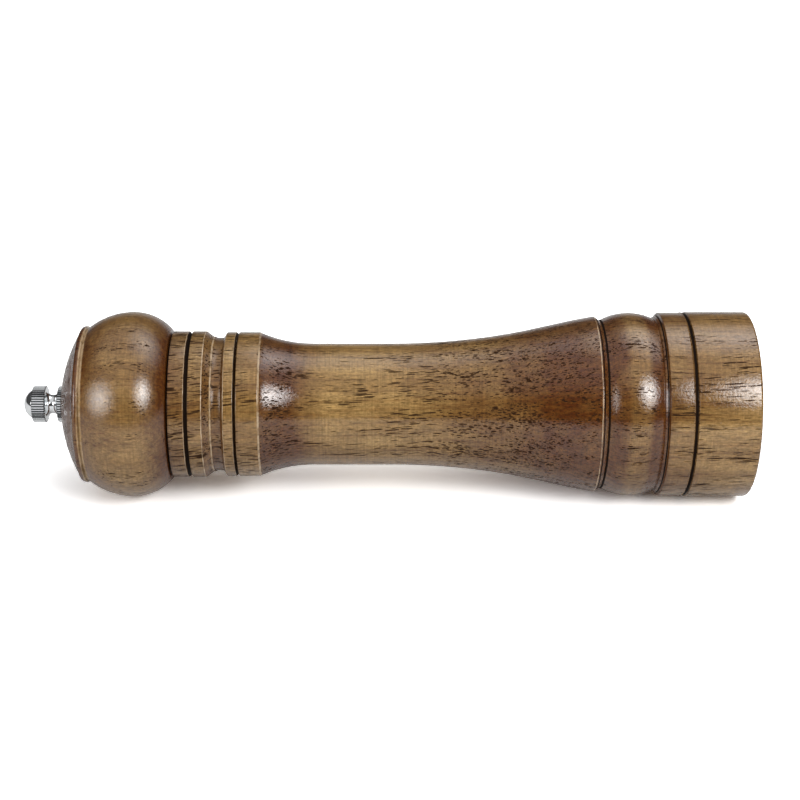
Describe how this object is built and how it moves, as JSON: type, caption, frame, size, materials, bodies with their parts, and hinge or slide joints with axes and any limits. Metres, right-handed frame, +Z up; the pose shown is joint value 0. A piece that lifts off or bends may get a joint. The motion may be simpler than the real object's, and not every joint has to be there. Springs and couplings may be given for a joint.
{
  "type": "pepper mill",
  "caption": "Turned wooden pepper mill with a flared body, a turning lift-off head, a bright knurled nut that sets the grind, and a ceramic burr set on a square spindle.",
  "frame": {"origin": "centre of the foot's resting face, on the spindle axis", "axes": "+Z up along the spindle towards the finial nut; the mill stands on its foot"},
  "size_m": [0.0552, 0.0552, 0.215],
  "materials": {
    "stained_wood": "walnut-stained open-pored hardwood under satin lacquer",
    "bright_chrome": "bright plated",
    "plated_steel": "zinc plated",
    "bare_aluminium": "drawn, bare",
    "white_ceramic": "sintered, matt",
    "black_nylon": "moulded, satin",
    "white_nylon": "moulded, satin"
  },
  "bodies": {
    "mill_body": {"body": "stained_wood", "burr_holder": "black_nylon", "stator": "white_ceramic", "stator_ring": "black_nylon", "holder_screws": "plated_steel"},
    "bearing": {"shaft_sleeve": "white_nylon", "spring": "plated_steel"},
    "spindle": {"shaft": "bare_aluminium", "rotor": "white_ceramic", "rotor_hub": "black_nylon", "rotor_washer": "plated_steel", "rotor_nut": "plated_steel", "spring_washer": "plated_steel"},
    "mill_head": {"head": "stained_wood", "drive_plate": "plated_steel", "drive_plate_screws": "plated_steel"},
    "nut": {"finial_nut": "bright_chrome"}
  },
  "joints": [
    {"name": "head_turn", "type": "hinge", "parent": "mill_body", "child": "bearing", "pos_m": [0, 0, 0.036], "axis": [0, 0, 1], "continuous": true},
    {"name": "grind_adjust", "type": "slide", "parent": "bearing", "child": "spindle", "axis": [0, 0, 1], "range_m": [-0.0007, 0.0007], "deforming": ["spring"]},
    {"name": "head_lift", "type": "slide", "parent": "bearing", "child": "mill_head", "axis": [0, 0, 1], "range_m": [0, 0.085]},
    {"name": "nut_turn", "type": "hinge", "parent": "mill_head", "child": "nut", "pos_m": [0, 0, 0.209], "axis": [0, 0, 1], "range_deg": [-361, 361]}
  ],
  "couplings": [
    {"joint": "nut_turn", "follows": "grind_adjust", "rad_per_m": -8976}
  ]
}
